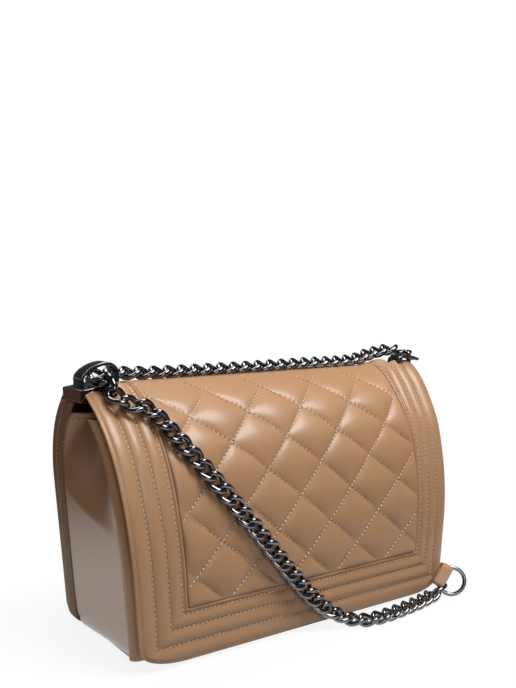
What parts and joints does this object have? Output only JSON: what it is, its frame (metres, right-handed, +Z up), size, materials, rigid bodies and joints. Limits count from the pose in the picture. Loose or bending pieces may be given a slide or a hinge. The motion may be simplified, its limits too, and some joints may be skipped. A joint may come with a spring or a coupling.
{
  "type": "leather bag",
  "caption": "Quilted tan leather shoulder bag with a front flap, corner brackets and a curb-chain strap that ends in a ring and a leather pad.",
  "frame": {"origin": "middle of the bag's underside, on the floor it stands on", "axes": "+Z up, +X to the right as seen from the front, -Y out of the flap"},
  "size_m": [0.2811, 0.1412, 0.1785],
  "materials": {
    "gunmetal": "polished dark",
    "tan_leather": "smooth, softly glossy",
    "lining_cloth": "matte",
    "snap_steel": "satin",
    "board": "matte"
  },
  "bodies": {
    "body": {"back_panel": "tan_leather", "front_panel": "tan_leather", "bottom_panel": "tan_leather", "gusset_left": "tan_leather", "gusset_right": "tan_leather", "front_binding_left": "tan_leather", "front_binding_right": "tan_leather", "back_flange_left": "tan_leather", "back_flange_right": "tan_leather", "body_lining": "lining_cloth", "base_board": "board", "snap_socket": "snap_steel"},
    "flap": {"flap_frame": "tan_leather", "flap_quilted_panel": "tan_leather", "ridge_panel": "tan_leather", "flap_lining": "lining_cloth", "snap_stud": "snap_steel", "bracket_base_left": "gunmetal", "bracket_base_right": "gunmetal", "bracket_arch_left": "gunmetal", "bracket_arch_right": "gunmetal", "bracket_tongue_left": "gunmetal", "bracket_tongue_right": "gunmetal", "chain_top_run": "gunmetal"},
    "strap": {"chain_front_run": "gunmetal", "chain_side_run": "gunmetal", "shoulder_pad": "tan_leather"},
    "front_ring": {"ring_front": "gunmetal"},
    "back_ring": {"ring_back": "gunmetal"}
  },
  "joints": [
    {"name": "flap_hinge", "type": "hinge", "parent": "body", "child": "flap", "pos_m": [0, 0.02268, 0.1569], "axis": [-1, 0, 0], "range_deg": [0, 100]},
    {"name": "strap_hinge", "type": "hinge", "parent": "flap", "child": "strap", "pos_m": [-0.1186, -0.016, 0.1672], "axis": [-0.9965, -0.0812, -0.0193], "range_deg": [0, 140]},
    {"name": "front_ring_turn", "type": "hinge", "parent": "strap", "child": "front_ring", "pos_m": [0.1225, -0.0685, 0.0112], "axis": [-0.5428, -0.781, 0.309], "range_deg": [-180, 180]},
    {"name": "back_ring_turn", "type": "hinge", "parent": "strap", "child": "back_ring", "pos_m": [0.14, 0.048, 0.0118], "axis": [1, 0, 0], "range_deg": [-180, 180]}
  ]
}
